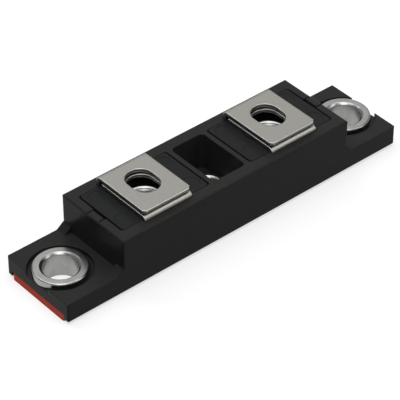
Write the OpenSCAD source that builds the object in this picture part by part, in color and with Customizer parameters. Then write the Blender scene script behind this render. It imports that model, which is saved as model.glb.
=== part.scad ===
// Two-chip Schottky diode module with a bolt-down base and two screw terminals of doubled straps.
// X runs along the length, Y across it, Z up from the underside of the base plate.

/* [Housing] */
// Distance between the centres of the two mounting holes
hole_spacing = 80; // [78:0.5:84]
// From a mounting hole's centre to the end of the housing
ear_end = 6.1; // [5.6:0.1:9]
// Width of the housing
housing_w = 20.4; // [20:0.1:24]
// Length of the raised block between the ears
block_l = 62.7; // [61.5:0.1:64]
// Height of the block's top above the underside of the plate
block_h = 14.1; // [13.5:0.1:17]
// Height of the ears' top above the underside of the plate
ear_h = 5.4; // [5.1:0.1:7]
// Radius of the block's top edges
top_edge_r = 0.4; // [0.2:0.1:1.2]
// Radius of the housing's upright corners
corner_r = 0.3; // [0.2:0.1:1]
// Reach of the gussets at the foot of the block's end walls over the ears
gusset_l = 1.8; // [1:0.1:2.4]
// Height of the gussets on the end walls
gusset_h = 1.4; // [0.8:0.1:3]
// Width of each gusset
gusset_w = 2.6; // [1:0.1:3.2]
// Height of the side skirts' lower edge above the underside of the plate
skirt_lift = 0.8; // [0.4:0.1:1.2]

/* [Base plate] */
// Thickness of the base plate
plate_t = 1.8; // [1.5:0.1:2.2]
// Width of the base plate
plate_w = 17.4; // [17:0.1:18]
// Radius of the plate's upright corners
plate_corner_r = 0.6; // [0.2:0.1:2]
// Room between the plate's long edges and the skirts
plate_gap = 0.1; // [0.05:0.05:0.2]
// Thickness of the adhesive bed between plate and housing
seal_t = 0.1; // [0.05:0.05:0.3]
// How far the adhesive bed stays back from the housing's ends
seal_setback = 0.8; // [0.3:0.1:1]

/* [Mounting bushings] */
// Diameter of the mounting holes
hole_d = 7.8; // [7:0.1:8]
// Diameter of an ear bushing's flange
flange_d = 12.1; // [11.5:0.1:12.8]
// Thickness of the bushings' flanges
flange_t = 1.75; // [1.4:0.05:2]
// Diameter of an ear bushing's body below the flange
body_d = 9.8; // [9.5:0.1:10.2]
// Diameter of an ear bushing's spigot, which goes through the plate
spigot_d = 8.9; // [8.6:0.1:9.1]
// Room around the bushings' spigots in the plate
spigot_gap = 0.05; // [0.05:0.05:0.1]
// Height of the ear bushings' tops above the ears
bushing_proud = 0.65; // [0.3:0.05:0.9]
// Width of the countersink at the top of a bushing's hole
countersink_w = 0.5; // [0.3:0.1:0.7]
// Depth of that countersink
countersink_depth = 1.3; // [0.5:0.1:1.4]
// Bevel on the flanges' outer top edge
flange_bevel = 0.35; // [0.1:0.05:0.5]
// Diameter of the round recess in each ear
recess_d = 14.2; // [13.2:0.1:15]
// Room around a bushing's body in the housing
body_gap = 0.1; // [0.05:0.05:0.15]

/* [Centre pocket] */
// Size of the pocket along the housing
pocket_l = 8.9; // [8.6:0.1:9.6]
// Size of the pocket across the housing
pocket_w = 14.3; // [12:0.1:15]
// Radius of the pocket's upright corners
pocket_r = 1.2; // [0.5:0.1:2]
// Height of the pocket's floor above the underside of the plate
pocket_floor_z = 5; // [4.4:0.1:5.6]
// Diameter of the hole in the centre bushing
centre_hole_d = 4.8; // [4.4:0.1:5]
// Diameter of the centre bushing's body below the flange
centre_body_d = 7.2; // [6.8:0.1:7.6]
// Diameter of the centre bushing's spigot
centre_spigot_d = 6.1; // [5.6:0.1:6.4]
// Room between the centre bushing's flange and the pocket's walls
centre_gap = 0.2; // [0.1:0.05:0.3]

/* [Terminals] */
// Distance between the centres of the two terminals
terminal_spacing = 35; // [34:0.1:36]
// Width of a strap
strap_w = 12.7; // [11:0.1:14]
// Thickness of a strap
strap_t = 0.8; // [0.6:0.05:1]
// Height of the lower leaf above the block
leaf_lift = 0.3; // [0.2:0.05:0.6]
// Gap between the two leaves
leaf_gap = 0.45; // [0.2:0.05:0.6]
// How far the upper leaf's free end stays back from the outside of the lower strap's leg
leaf_setback = 0.3; // [0:0.05:1.2]
// Gap between the lower leaf's free end and the upper strap's leg
leaf_end_gap = 0.35; // [0.2:0.05:1]
// Corner cut at the leaves' free ends
leaf_clip = 0.7; // [0.3:0.1:1.5]
// Width of the long hole in the leaves
slot_hole_w = 6.5; // [6.4:0.1:7]
// Length of the long hole in the leaves
slot_hole_l = 8.4; // [7.8:0.1:9]
// From the terminal's axis to the middle of the lower leaf's long hole, towards the far side
lower_hole_shift = 0.15; // [0:0.05:0.5]
// From the terminal's axis to the middle of the upper leaf's long hole, towards the far side
upper_hole_shift = 0.45; // [0:0.05:0.5]
// Inner radius of the bend from a leg to its leaf
shoulder_r = 0.35; // [0.3:0.05:0.5]
// Inner radius of the bend from a foot to its leg
ankle_r = 0.5; // [0.3:0.05:0.7]
// Gap between the two straps' feet on a chip
foot_gap = 1; // [0.6:0.1:2]
// Room between a leg and the carrier beside it
leg_gap = 0.05; // [0.05:0.05:0.1]
// Room around a leg in the housing's slot
slot_gap = 0.1; // [0.05:0.05:0.2]

/* [Nut carriers] */
// Length of a nut carrier, along the housing
carrier_l = 23; // [21.5:0.1:24]
// Width of a nut carrier, across the housing
carrier_w = 14.4; // [14:0.1:15]
// Radius of the carrier's upright corners
carrier_r = 0.6; // [0.4:0.1:2]
// Gap beside a carrier's long edges
carrier_gap = 0.1; // [0.05:0.05:0.2]
// Gap at a carrier's ends
carrier_end_gap = 0.4; // [0.2:0.05:0.5]
// Thickness of the floor under a nut
carrier_floor_t = 1.4; // [0.8:0.1:1.6]
// Length of the ledge that carries each end of a carrier
ledge_l = 1.5; // [0.8:0.1:2]
// Diameter of the ejector marks on a carrier
ejector_d = 4.2; // [2:0.1:4.4]
// Depth of the ejector marks
ejector_depth = 0.07; // [0.05:0.01:0.3]
// From an ejector mark's centre to the carrier's edges
ejector_inset = 2.7; // [2.4:0.1:3]
// Width of the latch tongue in each end wall
latch_w = 3.8; // [2:0.1:6]
// Width of the slits beside and behind the latch tongue
latch_slit = 0.3; // [0.15:0.05:0.4]
// Depth of those slits
latch_depth = 1.5; // [0.5:0.1:3]

/* [Terminal nuts] */
// Width of a nut across its flats
nut_af = 11.1; // [10:0.05:11.2]
// Height of a nut's hexagonal body
nut_hex_t = 4.4; // [3.5:0.1:5]
// Diameter of a nut's round collar
nut_collar_d = 8.6; // [7.8:0.1:9]
// Height of a nut's round collar
nut_collar_t = 1.2; // [0.8:0.1:1.6]
// Rounding of the collar's top edge
nut_collar_r = 0.15; // [0.1:0.05:0.25]
// Width of the collar's rim around the countersink
nut_rim_w = 0.3; // [0.25:0.05:0.5]
// Slope of the countersink from the rim to the thread, in degrees
nut_sink_slope = 30; // [20:1:40]
// Minor diameter of a nut's thread
thread_minor_d = 5.1; // [4.6:0.05:5.3]
// Outer diameter of a nut's thread
thread_d = 6.35; // [5.8:0.05:6.4]
// Room between a nut and its pocket
nut_gap = 0.35; // [0.1:0.05:0.4]

/* [Chips] */
// Height of the chamber between the adhesive bed and the carrier
cavity_h = 3.15; // [3:0.05:3.8]
// Side of a diode chip
die_w = 10; // [8:0.1:11]
// Thickness of a diode chip
die_t = 0.4; // [0.2:0.05:0.5]
// Edge of the chip that its top metal leaves free
die_guard = 0.5; // [0.2:0.05:1]
// Side of a buffer tab
tab_w = 11.5; // [11.2:0.1:13]
// Thickness of a buffer tab
tab_t = 0.8; // [0.5:0.05:0.9]
// Thickness of a solder layer
solder_t = 0.1; // [0.05:0.05:0.15]
// Air between the gel and the carrier above it
gel_gap = 0.3; // [0.1:0.05:0.5]

/* [Hidden] */
$fn = 96;

left = -1;
right = 1;
// Overshoot of a cut past the face that it opens
over = 1;

plastic = [0.17, 0.175, 0.17];
copper = [0.52, 0.2, 0.17];
steel = [0.66, 0.66, 0.65];
tinned = [0.63, 0.62, 0.59];
solder_grey = [0.55, 0.56, 0.58];
molybdenum = [0.42, 0.43, 0.45];
silicon = [0.2, 0.21, 0.26];
gel_clear = [0.8, 0.84, 0.86, 0.5];
adhesive = [0.85, 0.84, 0.8];

housing_l = hole_spacing + 2 * ear_end;
bed_z = plate_t + seal_t;
seat_z = ear_h + bushing_proud - flange_t;
centre_flange_d = pocket_l - 2 * centre_gap;

opening_l = carrier_l + 2 * carrier_end_gap;
opening_w = carrier_w + 2 * carrier_gap;
cavity_l = opening_l - 2 * ledge_l;
ledge_z = bed_z + cavity_h;
nut_floor_z = ledge_z + carrier_floor_t;

leg_outer = carrier_w / 2 + leg_gap + strap_t;
strap_slot_w = strap_w + 2 * slot_gap;
strap_slot_y = leg_outer + slot_gap;
lower_leaf_top = block_h + leaf_lift + strap_t;
upper_leaf_top = lower_leaf_top + leaf_gap + strap_t;

pad_w = die_w - 2 * die_guard;
tab_z = plate_t + solder_t;
tab_top = tab_z + tab_t;
die_z = tab_top + solder_t;
die_top = die_z + die_t;
foot_z = die_top + solder_t;
gel_top = ledge_z - gel_gap;

// Rectangle with true round corners, centred on the origin
module round_rect(l, w, r) {
    square([l - 2 * r, w], center = true);
    square([l, w - 2 * r], center = true);
    for (x = [-1, 1], y = [-1, 1])
        translate([x * (l / 2 - r), y * (w / 2 - r)])
            circle(r);
}

// Section of the block seen along one of its sides: w wide, h high, with round upper corners
module crowned(w, h, r) {
    translate([-w / 2, 0])
        square([w, h - r]);
    translate([r - w / 2, 0])
        square([w - 2 * r, h]);
    for (x = [-1, 1])
        translate([x * (w / 2 - r), h - r])
            circle(r);
}

// Rectangle between two opposite corners
module panel(y0, z0, y1, z1) {
    polygon([[y0, z0], [y1, z0], [y1, z1], [y0, z1]]);
}

// Rectangle between two opposite corners, with its lower and its upper corner at y0 rounded
module bay(y0, z0, y1, z1, low_r, high_r) {
    polygon([
        [y0, z0 + low_r],
        [y0 + low_r, z0],
        [y1, z0],
        [y1, z1],
        [y0 + high_r, z1],
        [y0, z1 - high_r]
    ]);
    translate([y0 + low_r, z0 + low_r])
        circle(low_r);
    translate([y0 + high_r, z1 - high_r])
        circle(high_r);
}

// Extrudes an outline drawn in Y and Z along X
module along_x(l) {
    rotate([90, 0, 90])
        linear_extrude(l, center = true)
            children();
}

// Extrudes an outline drawn in X and Z along Y
module along_y(w) {
    rotate([90, 0, 0])
        linear_extrude(w, center = true)
            children();
}

// Extrudes an outline drawn in X and Y from one height to another
module between(z0, z1) {
    translate([0, 0, z0])
        linear_extrude(z1 - z0)
            children();
}

// Turns a shape that is drawn for the right-hand end towards the given side
module facing(side) {
    mirror([side < 0 ? 1 : 0, 0, 0])
        children();
}

// Puts a piece at the left or the right terminal
module at_terminal(side) {
    translate([side * terminal_spacing / 2, 0, 0])
        children();
}

// Block between the ears, with all four top edges rounded
module block() {
    h = block_h - skirt_lift;
    intersection() {
        translate([0, 0, skirt_lift])
            along_x(block_l)
                crowned(housing_w, h, top_edge_r);
        translate([0, 0, skirt_lift])
            along_y(housing_w)
                crowned(block_l, h, top_edge_r);
        between(skirt_lift, block_h)
            round_rect(block_l, housing_w, corner_r);
    }
}

// Sloping gussets between the block's end walls and the ears, flush with the long sides
module gussets() {
    for (x = [-1, 1], y = [-1, 1])
        facing(x)
            translate([block_l / 2, y * (housing_w - gusset_w) / 2, ear_h])
                along_y(gusset_w)
                    polygon([
                        [-corner_r, 0],
                        [gusset_l, 0],
                        [0, gusset_h],
                        [-corner_r, gusset_h]
                    ]);
}

// Plan of the chamber's lower part, with the slots that the straps' legs stand in
module cavity_plan() {
    square([cavity_l, opening_w], center = true);
    strap_slots_plan();
}

// Both slots in one, from the outside of the near leg to the outside of the far leg
module strap_slots_plan() {
    square([strap_slot_w, 2 * strap_slot_y], center = true);
}

// Slits that free the latch tongue in a block's end wall, seen from above the right terminal
module latch_slits() {
    x0 = opening_l / 2;
    tongue_l = block_l / 2 - terminal_spacing / 2 - x0 - top_edge_r / 2;
    translate([x0 - over, -latch_w / 2])
        square([over + latch_slit, latch_w]);
    for (y = [-1, 1])
        translate([x0 - over, y * latch_w / 2 - latch_slit / 2])
            square([over + tongue_l, latch_slit]);
}

// Everything that one chamber takes out of the housing
module chamber(side) {
    at_terminal(side) {
        between(ledge_z, block_h + over)
            round_rect(opening_l, opening_w, carrier_r + carrier_gap);
        between(-over, ledge_z + over)
            square([cavity_l, opening_w], center = true);
        between(-over, block_h + over)
            strap_slots_plan();
        between(block_h - latch_depth, block_h + over)
            facing(side)
                latch_slits();
    }
}

module housing() {
    color(plastic)
        difference() {
            union() {
                between(skirt_lift, ear_h)
                    round_rect(housing_l, housing_w, corner_r);
                block();
                gussets();
            }
            between(-over, bed_z)
                square([housing_l + 2 * over, plate_w + 2 * plate_gap], center = true);
            for (x = [-1, 1])
                translate([x * hole_spacing / 2, 0, 0]) {
                    translate([0, 0, seat_z])
                        cylinder(h = block_h, d = recess_d);
                    cylinder(h = block_h, d = body_d + 2 * body_gap);
                }
            between(pocket_floor_z, block_h + over)
                round_rect(pocket_l, pocket_w, pocket_r);
            cylinder(h = block_h, d = centre_body_d + 2 * body_gap);
            chamber(left);
            chamber(right);
        }
}

module base_plate() {
    color(copper)
        difference() {
            between(0, plate_t)
                round_rect(housing_l, plate_w, plate_corner_r);
            for (x = [-1, 1])
                translate([x * hole_spacing / 2, 0, -over])
                    cylinder(h = plate_t + 2 * over, d = spigot_d + 2 * spigot_gap);
            translate([0, 0, -over])
                cylinder(h = plate_t + 2 * over, d = centre_spigot_d + 2 * spigot_gap);
        }
}

module base_seal() {
    color(adhesive)
        between(plate_t, bed_z)
            difference() {
                square([housing_l - 2 * seal_setback, plate_w], center = true);
                for (x = [-1, 1])
                    translate([x * hole_spacing / 2, 0])
                        circle(d = body_d + 2 * body_gap);
                circle(d = centre_body_d + 2 * body_gap);
                for (side = [left, right])
                    translate([side * terminal_spacing / 2, 0])
                        cavity_plan();
            }
}

// Flanged bushing turned from its half section: its shoulder stands on the plate, its flange on seat
module bushing(bore_d, pin_d, tube_d, rim_d, seat) {
    bore_r = bore_d / 2;
    top = seat + flange_t;
    rotate_extrude()
        polygon([
            [bore_r, 0],
            [pin_d / 2, 0],
            [pin_d / 2, plate_t],
            [tube_d / 2, plate_t],
            [tube_d / 2, seat],
            [rim_d / 2, seat],
            [rim_d / 2, top - flange_bevel],
            [rim_d / 2 - flange_bevel, top],
            [bore_r + countersink_w, top],
            [bore_r, top - countersink_depth]
        ]);
}

module mounting_bushing(side) {
    color(steel)
        translate([side * hole_spacing / 2, 0, 0])
            bushing(hole_d, spigot_d, body_d, flange_d, seat_z);
}

module centre_bushing() {
    color(steel)
        bushing(centre_hole_d, centre_spigot_d, centre_body_d, centre_flange_d, pocket_floor_z);
}

module nut_carrier(side) {
    pocket_af = nut_af + 2 * nut_gap;
    color(plastic)
        at_terminal(side)
            difference() {
                between(ledge_z, block_h)
                    round_rect(carrier_l, carrier_w, carrier_r);
                translate([0, 0, nut_floor_z])
                    cylinder(h = block_h, d = pocket_af / cos(30), $fn = 6);
                for (x = [-1, 1], y = [-1, 1])
                    translate([
                        x * (carrier_l / 2 - ejector_inset),
                        y * (carrier_w / 2 - ejector_inset),
                        block_h - ejector_depth
                    ])
                        cylinder(h = over, d = ejector_d);
            }
}

// Hexagonal nut with bevelled corners and a countersunk round collar, its corners along X
module terminal_nut(side) {
    hex_d = nut_af / cos(30);
    corner_bevel = (hex_d - nut_af) / 2 * tan(30);
    nut_t = nut_hex_t + nut_collar_t;
    mouth = (thread_d - thread_minor_d) / 2;
    collar_r = nut_collar_d / 2;
    sink_r = collar_r - nut_rim_w;
    thread_top = nut_t - (sink_r - thread_d / 2) * tan(nut_sink_slope);
    color(steel)
        at_terminal(side)
            translate([0, 0, nut_floor_z])
                difference() {
                    union() {
                        intersection() {
                            cylinder(h = nut_hex_t, d = hex_d, $fn = 6);
                            rotate_extrude()
                                polygon([
                                    [0, 0],
                                    [nut_af / 2, 0],
                                    [hex_d / 2, corner_bevel],
                                    [hex_d / 2, nut_hex_t - corner_bevel],
                                    [nut_af / 2, nut_hex_t],
                                    [0, nut_hex_t]
                                ]);
                        }
                        rotate_extrude() {
                            square([collar_r, nut_t - nut_collar_r]);
                            square([collar_r - nut_collar_r, nut_t]);
                            translate([collar_r - nut_collar_r, nut_t - nut_collar_r])
                                circle(nut_collar_r);
                        }
                    }
                    rotate_extrude()
                        polygon([
                            [0, -over],
                            [thread_d / 2, -over],
                            [thread_d / 2, 0],
                            [thread_minor_d / 2, mouth],
                            [thread_minor_d / 2, thread_top - mouth],
                            [thread_d / 2, thread_top],
                            [sink_r, nut_t],
                            [sink_r, nut_t + over],
                            [0, nut_t + over]
                        ]);
                }
}

// Outline of a strap: foot, leg on the near side, and a leaf with the given upper face and free end
module strap_outline(leaf_top, leaf_end) {
    leg_inner = strap_t - leg_outer;
    difference() {
        bay(-leg_outer, foot_z, leaf_end, leaf_top, ankle_r + strap_t, shoulder_r + strap_t);
        bay(leg_inner, foot_z + strap_t, leaf_end + over, leaf_top - strap_t, ankle_r, shoulder_r);
        panel(-foot_gap / 2, foot_z - over, leaf_end + over, leaf_top - strap_t);
    }
}

// Strap with a long hole in its leaf and clipped corners at the leaf's free end
module strap(leaf_top, leaf_end, hole_y) {
    reach = (slot_hole_l - slot_hole_w) / 2;
    difference() {
        along_x(strap_w)
            strap_outline(leaf_top, leaf_end);
        between(block_h, leaf_top + over) {
            translate([0, hole_y])
                square([slot_hole_w, 2 * reach], center = true);
            for (y = [-1, 1])
                translate([0, hole_y + y * reach])
                    circle(d = slot_hole_w);
            for (x = [-1, 1])
                translate([x * strap_w / 2, leaf_end])
                    rotate(45)
                        square(leaf_clip * sqrt(2), center = true);
        }
    }
}

// Lower strap of a terminal, with its leg on the near side
module terminal(side) {
    color(tinned)
        at_terminal(side)
            strap(lower_leaf_top, leg_outer - strap_t - leaf_end_gap, lower_hole_shift);
}

// Upper strap of a terminal, which comes over the lower one from the far side
module upper_terminal(side) {
    color(tinned)
        at_terminal(side)
            mirror([0, 1, 0])
                strap(upper_leaf_top, leg_outer - leaf_setback, -upper_hole_shift);
}

// Flat square layer of the chip stack, from one height to another
module layer(side, w, z0, z1) {
    at_terminal(side)
        between(z0, z1)
            square(w, center = true);
}

module base_solder(side) {
    color(solder_grey)
        layer(side, tab_w, plate_t, tab_z);
}

module buffer_tab(side) {
    color(molybdenum)
        layer(side, tab_w, tab_z, tab_top);
}

module die_solder(side) {
    color(solder_grey)
        layer(side, die_w, tab_top, die_z);
}

module schottky_die(side) {
    color(silicon)
        layer(side, die_w, die_z, die_top);
}

module foot_solder(side) {
    color(solder_grey)
        layer(side, pad_w, die_top, foot_z);
}

// Gel around the chip stack and the straps' feet
module gel_fill(side) {
    color(gel_clear)
        difference() {
            at_terminal(side)
                between(plate_t, gel_top)
                    cavity_plan();
            layer(side, tab_w, plate_t - over, tab_top);
            layer(side, die_w, plate_t - over, die_top);
            layer(side, pad_w, plate_t - over, foot_z);
            terminal(side);
            upper_terminal(side);
        }
}

housing();
base_plate();
base_seal();
mounting_bushing(left);  // mounting_bushing_left
mounting_bushing(right);  // mounting_bushing_right
centre_bushing();
nut_carrier(left);  // nut_carrier_left
nut_carrier(right);  // nut_carrier_right
terminal_nut(left);  // terminal_nut_left
terminal_nut(right);  // terminal_nut_right
terminal(left);  // terminal_left
terminal(right);  // terminal_right
upper_terminal(left);  // upper_terminal_left
upper_terminal(right);  // upper_terminal_right
base_solder(left);  // base_solder_left
base_solder(right);  // base_solder_right
buffer_tab(left);  // buffer_tab_left
buffer_tab(right);  // buffer_tab_right
die_solder(left);  // die_solder_left
die_solder(right);  // die_solder_right
schottky_die(left);  // schottky_die_left
schottky_die(right);  // schottky_die_right
foot_solder(left);  // foot_solder_left
foot_solder(right);  // foot_solder_right
gel_fill(left);  // gel_fill_left
gel_fill(right);  // gel_fill_right
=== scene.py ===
"""Looks of a two-chip Schottky diode module: black moulding, plated straps, bushings and threaded nuts."""

import math

import bpy
from mathutils import Matrix, Vector


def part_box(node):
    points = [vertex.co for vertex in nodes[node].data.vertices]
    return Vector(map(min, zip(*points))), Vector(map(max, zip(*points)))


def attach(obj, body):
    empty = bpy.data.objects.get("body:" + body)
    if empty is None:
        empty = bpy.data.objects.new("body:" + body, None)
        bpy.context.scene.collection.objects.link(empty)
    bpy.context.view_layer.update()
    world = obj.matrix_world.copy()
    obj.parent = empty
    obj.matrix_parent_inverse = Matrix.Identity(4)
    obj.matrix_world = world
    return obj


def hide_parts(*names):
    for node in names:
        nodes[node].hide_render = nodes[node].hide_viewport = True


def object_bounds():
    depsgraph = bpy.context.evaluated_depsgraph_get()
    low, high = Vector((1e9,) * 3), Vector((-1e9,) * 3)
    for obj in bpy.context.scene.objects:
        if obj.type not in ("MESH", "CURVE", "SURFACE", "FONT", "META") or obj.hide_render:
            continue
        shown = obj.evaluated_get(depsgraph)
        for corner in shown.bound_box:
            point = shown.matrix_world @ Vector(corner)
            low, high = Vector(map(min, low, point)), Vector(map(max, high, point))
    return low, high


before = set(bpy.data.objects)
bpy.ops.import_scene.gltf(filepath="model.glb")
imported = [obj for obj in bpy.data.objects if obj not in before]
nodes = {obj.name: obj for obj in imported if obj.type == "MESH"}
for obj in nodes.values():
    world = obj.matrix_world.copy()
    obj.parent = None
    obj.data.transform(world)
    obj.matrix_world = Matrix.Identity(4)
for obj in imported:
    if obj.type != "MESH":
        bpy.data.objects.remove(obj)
cad_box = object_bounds()
MM = 0.001
SIDES = ("left", "right")


# Camera, found from the photograph's edges: lengths in metres, angles in degrees

VIEW_AZIMUTH = -40.441
VIEW_ELEVATION = 39.181
VIEW_DISTANCE = 480.437 * MM
VIEW_TARGET = Vector((0, 0, 7.8 * MM))
VIEW_SLIDE_ACROSS = 1.693 * MM
VIEW_SLIDE_UP = 4.292 * MM
FOCAL_PIXELS = 2239.912
IMAGE_PIXELS = 400
SENSOR_WIDTH = 36.0
CLIP_NEAR = 0.01
CLIP_FAR = 20.0


def add_camera():
    a = math.radians(VIEW_AZIMUTH)
    e = math.radians(VIEW_ELEVATION)
    back = Vector((math.sin(a) * math.cos(e), -math.cos(a) * math.cos(e), math.sin(e)))
    across = Vector((math.cos(a), math.sin(a), 0))
    up = back.cross(across)
    data = bpy.data.cameras.new("camera")
    data.sensor_width = SENSOR_WIDTH
    data.lens = FOCAL_PIXELS / IMAGE_PIXELS * SENSOR_WIDTH
    data.clip_start = CLIP_NEAR
    data.clip_end = CLIP_FAR
    camera = bpy.data.objects.new("camera", data)
    bpy.context.scene.collection.objects.link(camera)
    place = VIEW_TARGET + back * VIEW_DISTANCE - across * VIEW_SLIDE_ACROSS - up * VIEW_SLIDE_UP
    turn = Matrix((across, up, back)).transposed()
    camera.matrix_world = Matrix.Translation(place) @ turn.to_4x4()
    bpy.context.scene.camera = camera


# Node helpers

NOISE_ROUGHNESS = 0.6
BEVEL_SAMPLES = 6


class Nodes:
    """Short names for the node calls of one material or world."""

    def __init__(self, tree):
        self.tree = tree
        tree.nodes.clear()

    def add(self, kind, **settings):
        node = self.tree.nodes.new("ShaderNode" + kind)
        for name, value in settings.items():
            setattr(node, name, value)
        return node

    def link(self, source, target):
        self.tree.links.new(source, target)

    def fill(self, target, value):
        """Links a socket, or sets a plain value."""
        if isinstance(value, bpy.types.NodeSocket):
            self.link(value, target)
        else:
            target.default_value = value

    def compute(self, operation, a, b=0.0):
        node = self.add("Math", operation=operation)
        self.fill(node.inputs[0], a)
        self.fill(node.inputs[1], b)
        return node.outputs[0]

    def spread(self, value, low, high):
        """Maps a 0 to 1 value to low to high."""
        node = self.add("MapRange")
        self.fill(node.inputs["Value"], value)
        node.inputs["To Min"].default_value = low
        node.inputs["To Max"].default_value = high
        return node.outputs["Result"]

    def mix(self, share, a, b):
        """Colour from a to b, where a is a plain colour or a socket."""
        node = self.add("Mix", data_type="RGBA")
        self.fill(node.inputs["Factor"], share)
        self.fill(node.inputs["A"], a if isinstance(a, bpy.types.NodeSocket) else (*a, 1))
        node.inputs["B"].default_value = (*b, 1)
        return node.outputs["Result"]

    def place(self, centre=(0, 0, 0), stretch=(1, 1, 1)):
        """Row-frame coordinates in millimetres, from a centre and stretched."""
        coords = self.add("TexCoord").outputs["Object"]
        mapping = self.add("Mapping", vector_type="TEXTURE")
        self.link(coords, mapping.inputs["Vector"])
        mapping.inputs["Location"].default_value = centre
        mapping.inputs["Scale"].default_value = [MM * s for s in stretch]
        return mapping.outputs["Vector"]

    def noise(self, where, scale, detail):
        node = self.add("TexNoise")
        self.link(where, node.inputs["Vector"])
        node.inputs["Scale"].default_value = scale
        node.inputs["Detail"].default_value = detail
        node.inputs["Roughness"].default_value = NOISE_ROUGHNESS
        return node.outputs["Fac"]

    def bump(self, height, strength, depth, normal=None):
        node = self.add("Bump")
        node.inputs["Strength"].default_value = strength
        node.inputs["Distance"].default_value = depth
        self.link(height, node.inputs["Height"])
        if normal is not None:
            self.link(normal, node.inputs["Normal"])
        return node.outputs["Normal"]

    def soft_edges(self, radius):
        node = self.add("Bevel", samples=BEVEL_SAMPLES)
        node.inputs["Radius"].default_value = radius
        return node.outputs["Normal"]

    def edge_highlight_share(self, soft_normal, turn):
        """Share of the painted edge highlight: rises from 0 on flat faces to 1 where the softened edge leans
        away by the given turn.
        """
        lean = self.add("VectorMath", operation="DOT_PRODUCT")
        self.link(soft_normal, lean.inputs[0])
        self.link(self.add("NewGeometry").outputs["Normal"], lean.inputs[1])
        share = self.add("MapRange")
        self.link(lean.outputs["Value"], share.inputs["Value"])
        share.inputs["From Min"].default_value = 1.0
        share.inputs["From Max"].default_value = math.cos(turn)
        return share.outputs["Result"]

    def finish(self, **inputs):
        """Principled surface with the named inputs."""
        shader = self.add("BsdfPrincipled")
        for name, value in inputs.items():
            self.fill(shader.inputs[name.replace("_", " ")], value)
        output = self.add("OutputMaterial")
        self.link(shader.outputs[0], output.inputs["Surface"])


def new_material(name):
    material = bpy.data.materials.new(name)
    material.use_nodes = True
    return material, Nodes(material.node_tree)


# Materials: tones run from dull to bright, and noise scales are waves per millimetre

HOUSING_TONES = ((0.0235, 0.0235, 0.0228), (0.0295, 0.0295, 0.0288))
CARRIER_TONES = ((0.0165, 0.0172, 0.0172), (0.0215, 0.0222, 0.0222))
PLASTIC_EDGE = 0.3 * MM
PLASTIC_ROUGHNESS = (0.2, 0.32)
PLASTIC_SPECULAR = 0.05


def moulded_plastic(name, tones):
    """Black moulding: faint cloudy tone, fine spark-eroded grain, softened edges."""
    material, n = new_material(name)
    where = n.place()
    clouds = n.noise(where, scale=0.35, detail=4.0)
    grain = n.noise(where, scale=9.0, detail=2.0)
    ripple = n.noise(where, scale=1.1, detail=2.0)
    edge = n.soft_edges(PLASTIC_EDGE)
    coarse = n.bump(ripple, strength=0.12, depth=0.03 * MM, normal=edge)
    fine = n.bump(grain, strength=0.25, depth=0.012 * MM, normal=coarse)
    n.finish(
        Base_Color=n.mix(clouds, *tones),
        Roughness=n.spread(grain, *PLASTIC_ROUGHNESS),
        Specular_IOR_Level=PLASTIC_SPECULAR,
        Normal=fine,
    )
    return material


STRAP_TONES = ((0.31, 0.3, 0.276), (0.355, 0.344, 0.318))
# Pale colour and lean of the painted highlight on the strap edges
STRAP_HIGHLIGHT_TONE = (0.78, 0.78, 0.775)
STRAP_HIGHLIGHT_TURN = math.radians(35)
STRAP_EDGE = 0.24 * MM
STRAP_ROUGHNESS = (0.29, 0.35)
ROLLING_STRETCH = (1, 14, 14)


def plated_strip(name):
    """Matte nickel plate over rolled copper: faint rolling lines, a mottled tone and a painted highlight, a
    pale base colour on the softened edges.
    """
    material, n = new_material(name)
    mottle = n.noise(n.place(), scale=1.6, detail=3.0)
    rolling = n.noise(n.place(stretch=ROLLING_STRETCH), scale=3.0, detail=3.0)
    grain = n.noise(n.place(), scale=14.0, detail=2.0)
    edge = n.soft_edges(STRAP_EDGE)
    lines = n.bump(rolling, strength=0.03, depth=0.01 * MM, normal=edge)
    fine = n.bump(grain, strength=0.2, depth=0.008 * MM, normal=lines)
    plain = n.mix(mottle, *STRAP_TONES)
    n.finish(
        # Pale base colour where the softened edges lean away: a painted edge highlight
        Base_Color=n.mix(n.edge_highlight_share(edge, STRAP_HIGHLIGHT_TURN), plain, STRAP_HIGHLIGHT_TONE),
        Metallic=1.0,
        Roughness=n.spread(rolling, *STRAP_ROUGHNESS),
        Normal=fine,
    )
    return material


BUSHING_TONES = ((0.23, 0.23, 0.226), (0.41, 0.41, 0.404))
BUSHING_ROUGHNESS = (0.2, 0.3)
BUSHING_RING_PITCH = 0.22
NUT_TONES = ((0.44, 0.44, 0.432), (0.52, 0.52, 0.51))
NUT_ROUGHNESS = (0.29, 0.39)
NUT_RING_PITCH = 0.3
TURNED_EDGE = 0.12 * MM


def turned_metal(name, axis, tones, roughness, ring_pitch):
    """Lathe-turned plated steel: fine rings round an upright axis, their pitch in millimetres."""
    material, n = new_material(name)
    where = n.place(centre=axis)
    flat = n.add("VectorMath", operation="MULTIPLY")
    n.link(where, flat.inputs[0])
    flat.inputs[1].default_value = (1, 1, 0)
    radius = n.add("VectorMath", operation="LENGTH")
    n.link(flat.outputs[0], radius.inputs[0])
    rings = n.compute("SINE", n.compute("MULTIPLY", radius.outputs["Value"], 2 * math.pi / ring_pitch))
    mottle = n.noise(where, scale=0.4, detail=2.0)
    grain = n.noise(where, scale=12.0, detail=2.0)
    edge = n.soft_edges(TURNED_EDGE)
    grooves = n.bump(rings, strength=0.025, depth=0.01 * MM, normal=edge)
    fine = n.bump(grain, strength=0.12, depth=0.008 * MM, normal=grooves)
    n.finish(
        Base_Color=n.mix(mottle, *tones),
        Metallic=1.0,
        Roughness=n.spread(mottle, *roughness),
        Normal=fine,
    )
    return material


COPPER_TONES = ((0.245, 0.03, 0.022), (0.29, 0.04, 0.029))
COPPER_SPECULAR_TINT = (1, 0.65, 0.6, 1)
COPPER_ROUGHNESS = (0.34, 0.48)
COPPER_EDGE = 0.1 * MM
GRINDING_STRETCH = (25, 1, 1)


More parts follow.
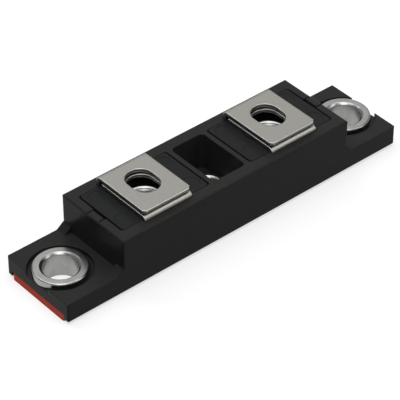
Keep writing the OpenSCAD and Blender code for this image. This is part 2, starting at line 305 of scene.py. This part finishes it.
def red_copper(name):
    """Copper plate, oxidised red-brown by soldering, with fine grinding lines along its length."""
    material, n = new_material(name)
    tarnish = n.noise(n.place(), scale=0.5, detail=5.0)
    grinding = n.noise(n.place(stretch=GRINDING_STRETCH), scale=6.0, detail=3.0)
    lines = n.bump(grinding, strength=0.15, depth=0.01 * MM, normal=n.soft_edges(COPPER_EDGE))
    n.finish(
        Base_Color=n.mix(tarnish, *COPPER_TONES),
        Metallic=1.0,
        Specular_Tint=COPPER_SPECULAR_TINT,
        Roughness=n.spread(grinding, *COPPER_ROUGHNESS),
        Normal=lines,
    )
    return material


SOLDER_TONES = ((0.42, 0.43, 0.45), (0.55, 0.56, 0.58))
SOLDER_ROUGHNESS = (0.32, 0.48)
MOLYBDENUM_TONES = ((0.30, 0.31, 0.33), (0.38, 0.39, 0.41))
MOLYBDENUM_ROUGHNESS = (0.3, 0.46)
SILICON_TONES = ((0.16, 0.17, 0.20), (0.24, 0.25, 0.28))
SILICON_ROUGHNESS = (0.17, 0.33)


def inner_metal(name, tones, roughness):
    """Solder, molybdenum or metallised silicon, sealed under the gel."""
    material, n = new_material(name)
    tone = n.noise(n.place(), scale=1.2, detail=4.0)
    n.finish(
        Base_Color=n.mix(tone, *tones),
        Metallic=1.0,
        Roughness=n.spread(tone, *roughness),
        Normal=n.bump(tone, strength=0.1, depth=0.01 * MM),
    )
    return material


GEL_TONES = ((0.78, 0.82, 0.84), (0.86, 0.88, 0.9))
GEL_CLEARNESS = 0.9
SEAL_TONES = ((0.62, 0.61, 0.58), (0.74, 0.73, 0.7))
SEAL_CLEARNESS = 0.0
SILICONE_ROUGHNESS = (0.25, 0.35)
SILICONE_IOR = 1.41


def soft_silicone(name, tones, clearness):
    """Cured silicone, clear for the gel and milky for the adhesive."""
    material, n = new_material(name)
    tone = n.noise(n.place(), scale=0.6, detail=3.0)
    n.finish(
        Base_Color=n.mix(tone, *tones),
        Roughness=n.spread(tone, *SILICONE_ROUGHNESS),
        IOR=SILICONE_IOR,
        Transmission_Weight=clearness,
    )
    return material


def dress(name, material):
    """Gives a CAD node its finish."""
    mesh = nodes[name].data
    mesh.materials.clear()
    mesh.materials.append(material)


# Turned pieces, built from rows of points round an upright axis: a row is a height and a radius for each turn

ROUND_STEPS = 96
RIM_STEPS = 6
SHARP_ANGLE = math.radians(28)
TURNS = [2 * math.pi * i / ROUND_STEPS for i in range(ROUND_STEPS)]


def circle(radius):
    return [radius] * ROUND_STEPS


def rounded_rim(radius, height, rounding):
    """Rows over a rounded outer rim, from its side up to its top."""
    rows = []
    for i in range(RIM_STEPS + 1):
        lean = math.pi / 2 * i / RIM_STEPS
        inset = rounding * (1 - math.cos(lean))
        drop = rounding * (1 - math.sin(lean))
        rows.append((height - drop, circle(radius - inset)))
    return rows


def turned_piece(name, replaced, rows):
    """Closed ring of rows, in the place of a CAD node."""
    low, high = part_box(replaced)
    axis = (low + high) / 2
    points = [
        (axis.x + r * math.cos(a), axis.y + r * math.sin(a), low.z + height)
        for height, radii in rows
        for a, r in zip(TURNS, radii)
    ]
    faces = []
    for row in range(len(rows)):
        here = row * ROUND_STEPS
        above = (row + 1) % len(rows) * ROUND_STEPS
        for i in range(ROUND_STEPS):
            j = (i + 1) % ROUND_STEPS
            faces.append((here + i, here + j, above + j, above + i))
    mesh = bpy.data.meshes.new(name)
    mesh.from_pydata(points, [], faces)
    mesh.polygons.foreach_set("use_smooth", [True] * len(faces))
    mesh.set_sharp_from_angle(angle=SHARP_ANGLE)
    piece = bpy.data.objects.new(name, mesh)
    bpy.context.scene.collection.objects.link(piece)
    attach(piece, "root")
    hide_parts(replaced)
    return piece, axis


# Flanged bushings: the flare of the mouth is an arc, with its lean measured from level

PLATE_THICK = 1.8 * MM
FLANGE_THICK = 1.75 * MM
FLANGE_ROUND = 0.4 * MM
FLARE_RADIUS = 2.8 * MM
FLARE_FROM = math.radians(33)
FLARE_TO = math.radians(48)
FLARE_STEPS = 8
EAR_RADII = (3.9 * MM, 4.45 * MM, 4.9 * MM)
CENTRE_RADII = (2.4 * MM, 3.05 * MM, 3.6 * MM)


def flanged_bushing(node, radii):
    """Bushing with a rounded rim and a flared mouth, from its bore, spigot and body radii."""
    bore, spigot, body = radii
    low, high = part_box(node)
    tall = high.z - low.z
    rim = (high.x - low.x) / 2
    seat = tall - FLANGE_THICK
    rows = [(0, circle(bore)), (0, circle(spigot)), (PLATE_THICK, circle(spigot))]
    rows += [(PLATE_THICK, circle(body)), (seat, circle(body)), (seat, circle(rim))]
    rows += rounded_rim(rim, tall, FLANGE_ROUND)
    for i in range(FLARE_STEPS + 1):
        lean = FLARE_FROM + (FLARE_TO - FLARE_FROM) * i / FLARE_STEPS
        radius = bore + FLARE_RADIUS * (math.sin(FLARE_TO) - math.sin(lean))
        drop = FLARE_RADIUS * (math.cos(FLARE_FROM) - math.cos(lean))
        rows.append((tall - drop, circle(radius)))
    return turned_piece("flared_" + node, node, rows)


# Threaded nuts: hexagon with bevelled corners, round collar with a dished top, step, countersink and thread

NUT_HEX_HEIGHT = 4.4 * MM
NUT_HEX_SECTOR = math.radians(60)
NUT_BEVEL_ANGLE = math.radians(30)
NUT_BEVEL_STEPS = 6
NUT_COLLAR_RADIUS = 4.3 * MM
NUT_COLLAR_ROUND = 0.15 * MM
NUT_DISH_RADIUS = 3.7 * MM
NUT_DISH_DROP = 0.26 * MM
NUT_DISH_CURVE = 1.5
NUT_DISH_STEPS = 8
NUT_STEP_DROP = 0.22 * MM
NUT_SINK_RADIUS = 3.6 * MM
NUT_SINK_DROP = 0.3 * MM
THREAD_PITCH = 1.27 * MM
THREAD_MINOR = 2.55 * MM
THREAD_MAJOR = 3.175 * MM
THREAD_MOUTH = THREAD_MAJOR + 0.15 * MM
THREAD_MOUTH_LEAN = 0.6
THREAD_FLANK = 1.15
THREAD_DEPTH_SHARE = 0.85
THREAD_PLAIN_PITCHES = 0.4
THREAD_STEPS = 18


def hexagon(angle, flat_radius):
    """Distance from the axis to a hexagon's side, with corners along X."""
    return flat_radius / math.cos((angle % NUT_HEX_SECTOR) - NUT_HEX_SECTOR / 2)


def thread_wall(angle, height, depth):
    """Radius of the threaded hole's wall, opened by a countersink at each mouth."""
    turn = (height / THREAD_PITCH - angle / (2 * math.pi)) % 1
    groove = max(0, 1 - abs(2 * turn - 1) * THREAD_FLANK)
    inside = min(height, depth - height)
    run_in = min(1, max(0, inside / THREAD_PITCH - THREAD_PLAIN_PITCHES))
    cut = groove * run_in * (THREAD_MAJOR - THREAD_MINOR) * THREAD_DEPTH_SHARE
    return max(THREAD_MINOR + cut, THREAD_MOUTH - inside * THREAD_MOUTH_LEAN)


def bevelled_hexagon(flat_radius, inset):
    """Radii of the hexagon at an inset from its end, where a cone trims the corners."""
    limit = flat_radius + inset / math.tan(NUT_BEVEL_ANGLE)
    return [min(hexagon(a, flat_radius), limit) for a in TURNS]


def nut_rows(flat_radius, tall):
    """Rows of the nut's outside, collar and thread."""
    bevel = (hexagon(0, flat_radius) - flat_radius) * math.tan(NUT_BEVEL_ANGLE)
    insets = [bevel * i / NUT_BEVEL_STEPS for i in range(NUT_BEVEL_STEPS + 1)]
    rows = [(0, circle(THREAD_MOUTH))]
    rows += [(inset, bevelled_hexagon(flat_radius, inset)) for inset in insets]
    rows += [(NUT_HEX_HEIGHT - inset, bevelled_hexagon(flat_radius, inset)) for inset in reversed(insets)]
    rows.append((NUT_HEX_HEIGHT, circle(NUT_COLLAR_RADIUS)))
    rows += rounded_rim(NUT_COLLAR_RADIUS, tall, NUT_COLLAR_ROUND)
    crest = NUT_COLLAR_RADIUS - NUT_COLLAR_ROUND
    for i in range(1, NUT_DISH_STEPS + 1):
        share = i / NUT_DISH_STEPS
        radius = crest + share * (NUT_DISH_RADIUS - crest)
        rows.append((tall - NUT_DISH_DROP * share ** NUT_DISH_CURVE, circle(radius)))
    step = tall - NUT_DISH_DROP - NUT_STEP_DROP
    deep = step - NUT_SINK_DROP
    rows += [(step, circle(NUT_DISH_RADIUS)), (step, circle(NUT_SINK_RADIUS)), (deep, circle(THREAD_MOUTH))]
    count = round(deep / THREAD_PITCH * THREAD_STEPS)
    for i in range(1, count):
        height = deep * (1 - i / count)
        rows.append((height, [thread_wall(a, height, deep) for a in TURNS]))
    return rows


def threaded_nut(side):
    """Nut with a real thread in its hole, in the place of the plain CAD nut."""
    low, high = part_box("terminal_nut_" + side)
    rows = nut_rows((high.y - low.y) / 2, high.z - low.z)
    return turned_piece("threaded_nut_" + side, "terminal_nut_" + side, rows)


# Stage: what the camera and reflections see is paler than what lights the part

FLOOR_SIZE = 6.0
FLOOR_DROP = 0.02 * MM
FLOOR_GLOW = 0.62
FLOOR_TONE = 0.48
FLOOR_BOUNCE = 0.05
SKY_LIGHT = 0.07
SKY_TONE = 0.5
SOFTBOXES = {
    "top_box": {"place": (-0.05, -0.02, 0.775), "wide": 0.75, "tall": 0.75, "brightness": 2.15},
    "back_box": {"place": (0.38, 0.56, 0.6), "wide": 0.62, "tall": 0.62, "brightness": 0.65},
    "front_box": {"place": (0.45, -0.57, 0.53), "wide": 0.26, "tall": 0.75, "brightness": 2.1},
    "rear_box": {"place": (-0.18, 0.53, 0.7), "wide": 0.3, "tall": 0.3, "brightness": 3.6},
    "high_box": {"place": (-0.3, -0.35, 0.66), "wide": 0.36, "tall": 0.36, "brightness": 2.4},
}


def seen_directly(n):
    """One for camera, glossy and transmission rays, else zero."""
    path = n.add("LightPath").outputs
    either = n.compute("MAXIMUM", path["Is Camera Ray"], path["Is Glossy Ray"])
    return n.compute("MAXIMUM", either, path["Is Transmission Ray"])


def grey_diffuse(n, tone):
    shader = n.add("BsdfDiffuse")
    shader.inputs["Color"].default_value = (tone, tone, tone, 1)
    return shader.outputs[0]


def add_floor():
    material, n = new_material("pale_floor")
    glow = n.add("Emission")
    glow.inputs["Strength"].default_value = FLOOR_GLOW
    white = n.add("AddShader")
    n.link(grey_diffuse(n, FLOOR_TONE), white.inputs[0])
    n.link(glow.outputs[0], white.inputs[1])
    choice = n.add("MixShader")
    n.link(seen_directly(n), choice.inputs["Fac"])
    n.link(grey_diffuse(n, FLOOR_BOUNCE), choice.inputs[1])
    n.link(white.outputs[0], choice.inputs[2])
    n.link(choice.outputs[0], n.add("OutputMaterial").inputs["Surface"])
    h = FLOOR_SIZE / 2
    mesh = bpy.data.meshes.new("floor")
    mesh.from_pydata([(-h, -h, 0), (h, -h, 0), (h, h, 0), (-h, h, 0)], [], [(0, 1, 2, 3)])
    mesh.materials.append(material)
    floor = bpy.data.objects.new("floor", mesh)
    floor.location.z = cad_box[0].z - FLOOR_DROP
    bpy.context.scene.collection.objects.link(floor)


def add_world():
    world = bpy.data.worlds.new("studio")
    world.use_nodes = True
    n = Nodes(world.node_tree)
    sky = n.add("Background")
    n.link(n.spread(seen_directly(n), SKY_LIGHT, SKY_TONE), sky.inputs["Strength"])
    n.link(sky.outputs[0], n.add("OutputWorld").inputs["Surface"])
    bpy.context.scene.world = world


def add_softbox(name, place, wide, tall, brightness):
    """Lamp that faces the middle of the part, as bright as a white card times brightness."""
    data = bpy.data.lights.new(name, "AREA")
    data.shape = "RECTANGLE"
    data.size = wide
    data.size_y = tall
    data.energy = math.pi * wide * tall * brightness
    lamp = bpy.data.objects.new(name, data)
    lamp.location = place
    lamp.rotation_mode = "QUATERNION"
    lamp.rotation_quaternion = (VIEW_TARGET - Vector(place)).to_track_quat("-Z", "Y")
    bpy.context.scene.collection.objects.link(lamp)


bpy.context.scene.view_settings.view_transform = "Standard"
add_camera()
add_floor()
add_world()
for name, settings in SOFTBOXES.items():
    add_softbox(name, **settings)


# Dressed part

BUSHINGS = {
    "mounting_bushing_left": EAR_RADII,
    "mounting_bushing_right": EAR_RADII,
    "centre_bushing": CENTRE_RADII,
}
SOLDER_LAYERS = ("base_solder_", "die_solder_", "foot_solder_")

dress("housing", moulded_plastic("housing_black", HOUSING_TONES))
dress("base_plate", red_copper("base_copper"))
dress("base_seal", soft_silicone("seal_adhesive", SEAL_TONES, SEAL_CLEARNESS))

for node, radii in BUSHINGS.items():
    bushing, axis = flanged_bushing(node, radii)
    zinc = turned_metal(node + "_zinc", axis, BUSHING_TONES, BUSHING_ROUGHNESS, BUSHING_RING_PITCH)
    bushing.data.materials.append(zinc)

carrier_black = moulded_plastic("carrier_black", CARRIER_TONES)
strap_plate = plated_strip("strap_nickel")
solder = inner_metal("solder_grey", SOLDER_TONES, SOLDER_ROUGHNESS)
molybdenum = inner_metal("molybdenum_grey", MOLYBDENUM_TONES, MOLYBDENUM_ROUGHNESS)
silicon = inner_metal("die_metal", SILICON_TONES, SILICON_ROUGHNESS)
gel = soft_silicone("gel_clear", GEL_TONES, GEL_CLEARNESS)

for side in SIDES:
    dress("nut_carrier_" + side, carrier_black)
    dress("terminal_" + side, strap_plate)
    dress("upper_terminal_" + side, strap_plate)
    dress("buffer_tab_" + side, molybdenum)
    dress("schottky_die_" + side, silicon)
    dress("gel_fill_" + side, gel)
    for layer in SOLDER_LAYERS:
        dress(layer + side, solder)
    nut, axis = threaded_nut(side)
    zinc = turned_metal("nut_zinc_" + side, axis, NUT_TONES, NUT_ROUGHNESS, NUT_RING_PITCH)
    nut.data.materials.append(zinc)
